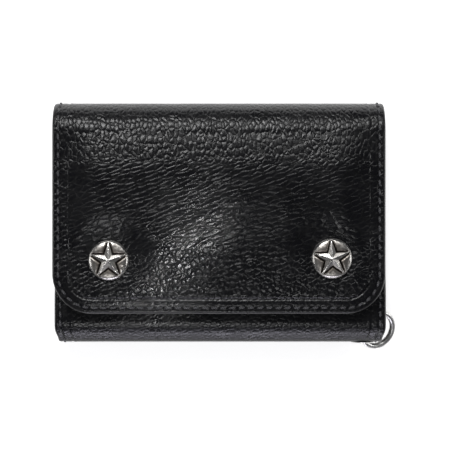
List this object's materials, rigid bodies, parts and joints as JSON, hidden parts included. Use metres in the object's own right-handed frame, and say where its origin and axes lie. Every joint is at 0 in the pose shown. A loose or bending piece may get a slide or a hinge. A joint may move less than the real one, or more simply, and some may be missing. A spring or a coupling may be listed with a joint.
{
  "type": "chain wallet",
  "caption": "Black leather trifold wallet with a round-cornered flap, star conchos on snap fasteners, card slots, a zipped coin pocket and a ring for a chain.",
  "frame": {"origin": "middle of the back panel's outer face, on which the closed wallet lies", "axes": "+X to the right along the wallet's width, +Y towards the top fold, +Z out through the snapped flap"},
  "size_m": [0.1308, 0.0943, 0.0259],
  "materials": {
    "outer_leather": "pebbled grain, semi-gloss",
    "inner_leather": "fine grain, matt",
    "black_textile": "woven tape, lining cloth and waxed thread",
    "antique_silver": "oxidised cast silver tone, bright on the ridges",
    "nickel": "polished nickel plate",
    "clear_film": "clear vinyl film"
  },
  "bodies": {
    "back": {"back_panel": "outer_leather", "note_divider": "inner_leather", "card_base": "inner_leather", "card_slot_1": "inner_leather", "card_slot_2": "inner_leather", "card_slot_3": "inner_leather", "card_slot_4": "inner_leather"},
    "top_fold_1": {"top_fold_strip_1": "outer_leather"},
    "top_fold_2": {"top_fold_strip_2": "outer_leather"},
    "top_fold_3": {"top_fold_strip_3": "outer_leather"},
    "flap": {"flap_leather": "outer_leather", "flap_lining": "inner_leather", "id_pocket_frame": "inner_leather", "id_window": "clear_film", "concho_left": "antique_silver", "concho_right": "antique_silver", "snap_socket_left": "nickel", "snap_socket_right": "nickel"},
    "bottom_fold": {"bottom_gusset": "outer_leather", "ring_eyelet": "nickel", "ring_eyelet_washer": "nickel"},
    "front": {"front_leather": "outer_leather", "coin_pocket_panel_lower": "inner_leather", "coin_pocket_panel_upper": "inner_leather", "coin_pocket_lining": "black_textile", "zip_tape_upper": "black_textile", "zip_tape_lower": "black_textile", "zip_teeth": "nickel", "zip_stop_left": "nickel", "zip_stop_right": "nickel", "snap_stud_left": "nickel", "snap_stud_right": "nickel", "snap_post_left": "nickel", "snap_post_right": "nickel"},
    "zip_slider": {"zip_slider": "nickel", "zip_slider_back_wing": "nickel", "zip_pull": "inner_leather"},
    "ring": {"chain_ring": "nickel"}
  },
  "joints": [
    {"name": "top_fold_hinge_1", "type": "hinge", "parent": "back", "child": "top_fold_1", "pos_m": [0, 0.03854, 0.0009], "axis": [-1, 0, 0], "range_deg": [0, 44]},
    {"name": "top_fold_hinge_2", "type": "hinge", "parent": "top_fold_1", "child": "top_fold_2", "pos_m": [0, 0.0446, 0.00696], "axis": [-1, 0, 0], "range_deg": [0, 44]},
    {"name": "top_fold_hinge_3", "type": "hinge", "parent": "top_fold_2", "child": "top_fold_3", "pos_m": [0, 0.0446, 0.01554], "axis": [-1, 0, 0], "range_deg": [0, 44]},
    {"name": "top_fold_hinge_4", "type": "hinge", "parent": "top_fold_3", "child": "flap", "pos_m": [0, 0.03854, 0.0216], "axis": [-1, 0, 0], "range_deg": [0, 44]},
    {"name": "bottom_fold_hinge_1", "type": "hinge", "parent": "back", "child": "bottom_fold", "pos_m": [0, -0.0446, 0.0009], "axis": [1, 0, 0], "range_deg": [0, 82.8]},
    {"name": "bottom_fold_hinge_2", "type": "hinge", "parent": "bottom_fold", "child": "front", "pos_m": [0, -0.0446, 0.0146], "axis": [1, 0, 0], "range_deg": [0, 82.8]},
    {"name": "zip_slide", "type": "slide", "parent": "front", "child": "zip_slider", "axis": [1, 0, 0], "range_m": [-0.091, 0]},
    {"name": "ring_swing", "type": "hinge", "parent": "bottom_fold", "child": "ring", "pos_m": [0.05504, -0.0446, 0.00775], "axis": [-0.5958, -0.8032, 0], "range_deg": [0, 40]}
  ],
  "couplings": [
    {"joint": "top_fold_hinge_2", "follows": "top_fold_hinge_1", "ratio": 1},
    {"joint": "top_fold_hinge_3", "follows": "top_fold_hinge_1", "ratio": 1},
    {"joint": "top_fold_hinge_4", "follows": "top_fold_hinge_1", "ratio": 1},
    {"joint": "bottom_fold_hinge_1", "follows": "top_fold_hinge_1", "ratio": 1.88},
    {"joint": "bottom_fold_hinge_2", "follows": "top_fold_hinge_1", "ratio": 1.88}
  ]
}
